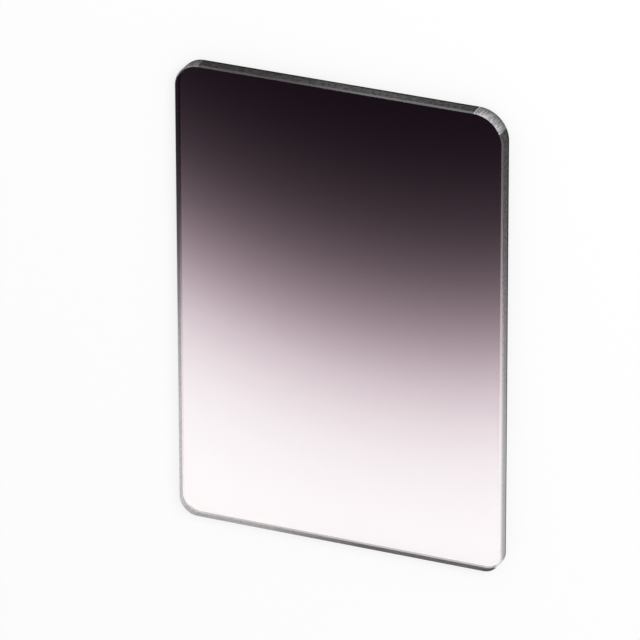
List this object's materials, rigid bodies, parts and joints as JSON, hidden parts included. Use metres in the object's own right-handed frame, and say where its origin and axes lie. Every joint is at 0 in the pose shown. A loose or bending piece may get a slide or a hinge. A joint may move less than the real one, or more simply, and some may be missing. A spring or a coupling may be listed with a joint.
{
  "type": "graduated neutral density filter",
  "caption": "Rectangular glass plate with rounded corners and a ground, chamfered edge, shading smoothly from dark grey to clear to darken a bright sky.",
  "frame": {"origin": "middle of the back face, which lies on the ground", "axes": "+Z out of the coated front face, +Y towards the dark end, +X to the right of someone who looks at the front face with the dark end up"},
  "size_m": [0.1016, 0.1436, 0.005],
  "materials": {
    "graduated_glass": "polished faces shading from dark purple grey at +Y to clear at -Y, with a finely ground grey edge"
  },
  "bodies": {
    "root": {"filter_plate": "graduated_glass"}
  },
  "joints": []
}
